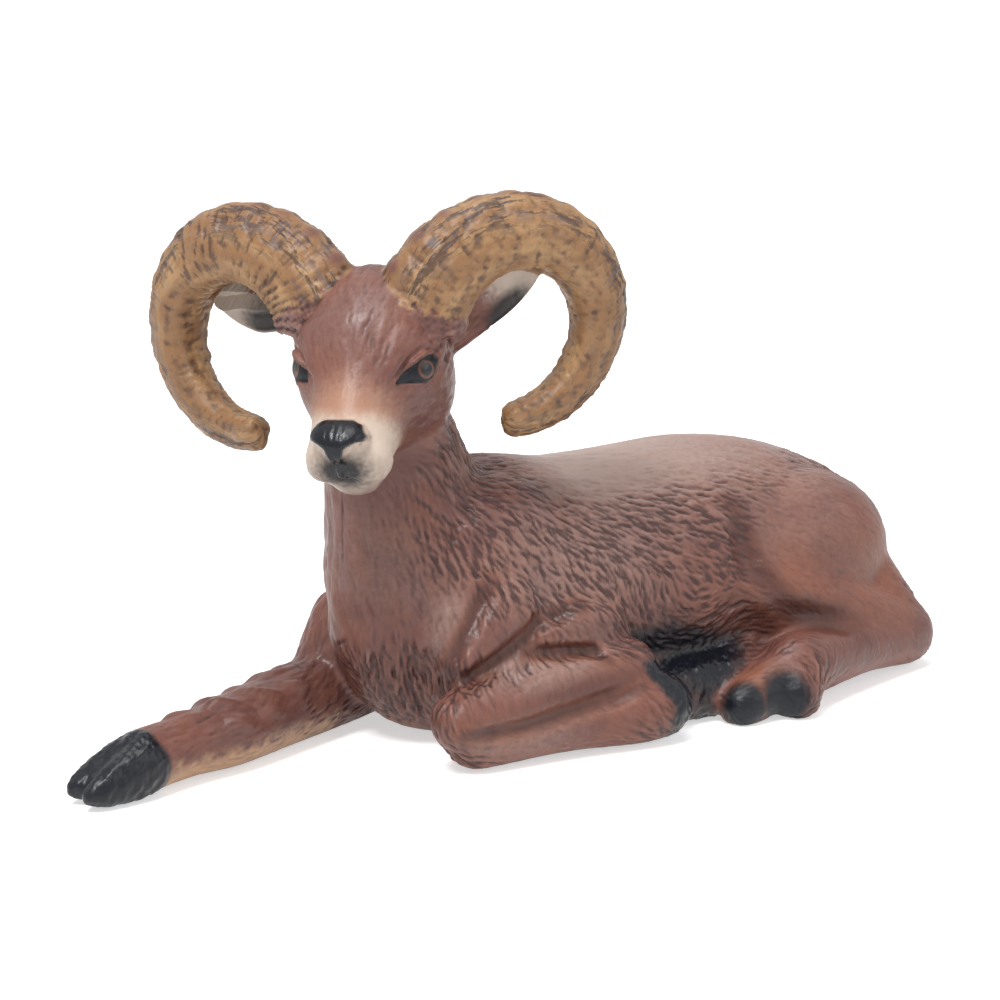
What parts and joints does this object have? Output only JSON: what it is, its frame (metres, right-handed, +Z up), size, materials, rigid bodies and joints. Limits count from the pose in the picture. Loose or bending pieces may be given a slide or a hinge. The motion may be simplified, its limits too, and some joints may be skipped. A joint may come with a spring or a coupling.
{
  "type": "ram figurine",
  "caption": "Small moulded figurine of a bighorn ram lying down, with curled horns, a turned head, folded legs and one foreleg stretched out in front.",
  "frame": {"origin": "middle of the footprint, on the flat underside", "axes": "+X from the breast towards the tail, -Y out of the ram's left side, +Z up"},
  "size_m": [0.1138, 0.0482, 0.0623],
  "materials": {
    "painted_vinyl": "satin painted vinyl, reddish brown, with ochre horns and black hooves"
  },
  "bodies": {
    "root": {"ram_figurine": "painted_vinyl"}
  },
  "joints": []
}
